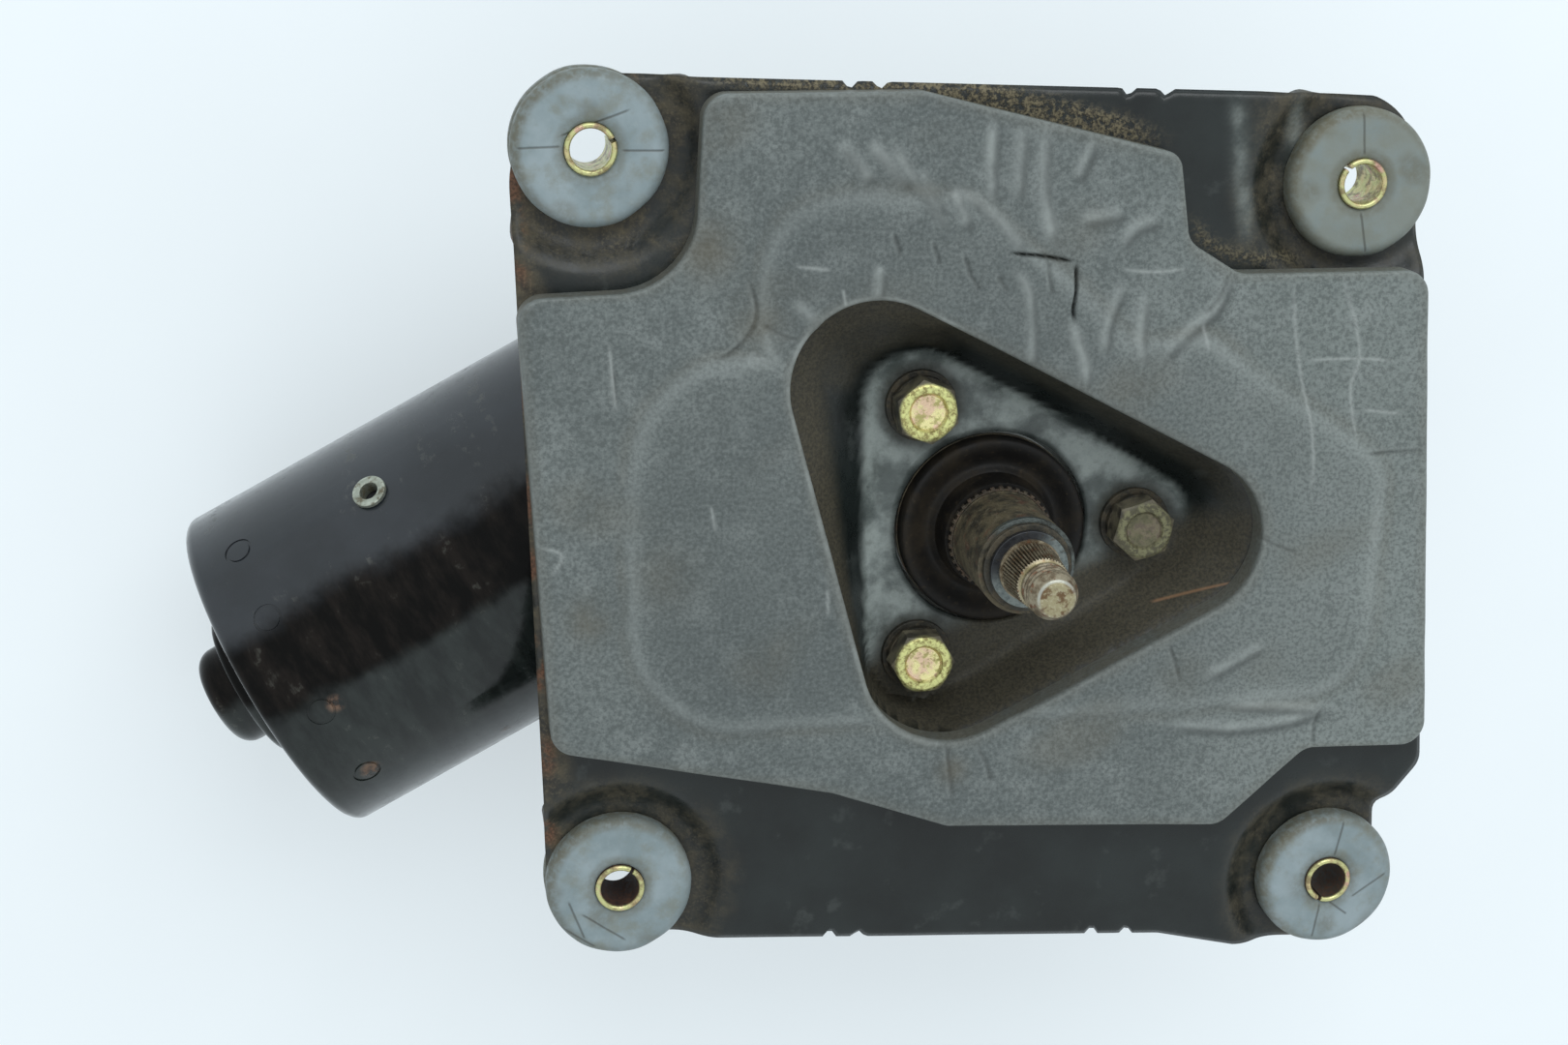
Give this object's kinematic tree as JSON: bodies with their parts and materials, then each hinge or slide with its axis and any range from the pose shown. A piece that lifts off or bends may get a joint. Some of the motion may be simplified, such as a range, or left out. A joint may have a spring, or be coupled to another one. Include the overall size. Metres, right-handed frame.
{
  "type": "wiper motor",
  "caption": "Windscreen wiper motor on a pressed mounting plate with rubber grommets, foam seal pad, worm gearbox and splined, threaded output shaft.",
  "frame": {"origin": "on the output shaft's axis, level with the top faces of the four mounting sleeves, inside the cylindrical output boss", "axes": "+Z along the output shaft towards the crank thread; +X and +Y lie in the mounting plate, +X along the rows of mounting holes"},
  "size_m": [0.2121, 0.1492, 0.1043],
  "materials": {
    "painted_plate": "satin black paint, scuffed",
    "foam": "matt grey closed-cell foam, wrinkled",
    "grommet_rubber": "blue-grey rubber, dusty",
    "zinc": "yellow zinc plate",
    "casting": "as cast",
    "black_rubber": "matt",
    "bronze": "sintered bronze",
    "steel": "bright steel",
    "dirty_steel": "rust-stained steel",
    "blued_steel": "blued spring steel",
    "yoke_paint": "gloss black paint",
    "black_plastic": "moulded",
    "wheel_plastic": "acetal",
    "copper": "copper",
    "laminate": "phenolic sheet",
    "ferrite": "ferrite",
    "carbon": "carbon brush",
    "gasket": "gasket"
  },
  "bodies": {
    "motor_frame": {"mounting_plate": "painted_plate", "seal_pad": "foam", "grommet_tl": "grommet_rubber", "grommet_tr": "grommet_rubber", "grommet_bl": "grommet_rubber", "grommet_br": "grommet_rubber", "mounting_sleeves": "zinc", "mounting_bolts": "zinc", "plain_washers": "dirty_steel", "lock_washers": "dirty_steel", "gear_housing": "casting", "boss_seal": "black_rubber", "toothed_ring": "dirty_steel", "upper_bush": "bronze", "lower_bush": "bronze", "shaft_o_ring": "black_rubber", "top_washer": "dirty_steel", "thrust_washer": "steel", "gear_cover": "yoke_paint", "cover_gasket": "gasket", "cover_screws": "zinc", "contact_carrier": "black_plastic", "contact_fingers": "copper", "connector_socket": "black_plastic", "terminals": "copper", "yoke": "yoke_paint", "hollow_rivet": "zinc", "yoke_screws": "zinc", "magnet_a": "ferrite", "magnet_b": "ferrite", "magnet_springs": "steel", "bearing_outer_ring": "steel", "bearing_clip": "blued_steel", "front_bush": "bronze", "thrust_screw": "zinc", "lock_nut": "zinc", "rear_bush": "bronze", "bush_retainer": "steel", "brush_card": "laminate", "brush_boxes": "copper", "choke_coils": "copper", "brush_spring_low": "steel", "brush_spring_high": "steel", "brush_spring_common": "steel", "bearing_balls": "steel", "thrust_ball": "steel"},
    "output": {"output_shaft": "dirty_steel", "retaining_ring": "blued_steel", "worm_wheel": "wheel_plastic", "wheel_hub": "steel", "park_disc": "copper"},
    "armature": {"armature_shaft": "steel", "armature_core": "steel", "windings": "copper", "commutator": "copper", "bearing_inner_ring": "steel"},
    "brush_low_body": {"brush_low": "carbon"},
    "brush_high_body": {"brush_high": "carbon"},
    "brush_common_body": {"brush_common": "carbon"}
  },
  "joints": [
    {"name": "armature_spin", "type": "hinge", "parent": "motor_frame", "child": "armature", "pos_m": [-0.0162, 0.02643, -0.04], "axis": [-0.8526, -0.5225, 0], "continuous": true},
    {"name": "output_spin", "type": "hinge", "parent": "motor_frame", "child": "output", "pos_m": [0, 0, 0], "axis": [0, 0, 1], "continuous": true},
    {"name": "brush_low_slide", "type": "slide", "parent": "motor_frame", "child": "brush_low_body", "axis": [0.5225, -0.8526, 0], "range_m": [0, 0.0025], "stiffness_N_per_m": 200, "springref_m": -0.008, "deforming": ["brush_spring_low"]},
    {"name": "brush_common_slide", "type": "slide", "parent": "motor_frame", "child": "brush_common_body", "axis": [-0.5225, 0.8526, 0], "range_m": [0, 0.0025], "stiffness_N_per_m": 200, "springref_m": -0.008, "deforming": ["brush_spring_common"]},
    {"name": "brush_high_slide", "type": "slide", "parent": "motor_frame", "child": "brush_high_body", "axis": [0.2612, -0.4263, -0.866], "range_m": [0, 0.0025], "stiffness_N_per_m": 200, "springref_m": -0.008, "deforming": ["brush_spring_high"]}
  ],
  "couplings": [
    {"joint": "output_spin", "follows": "armature_spin", "ratio": -0.018868}
  ]
}
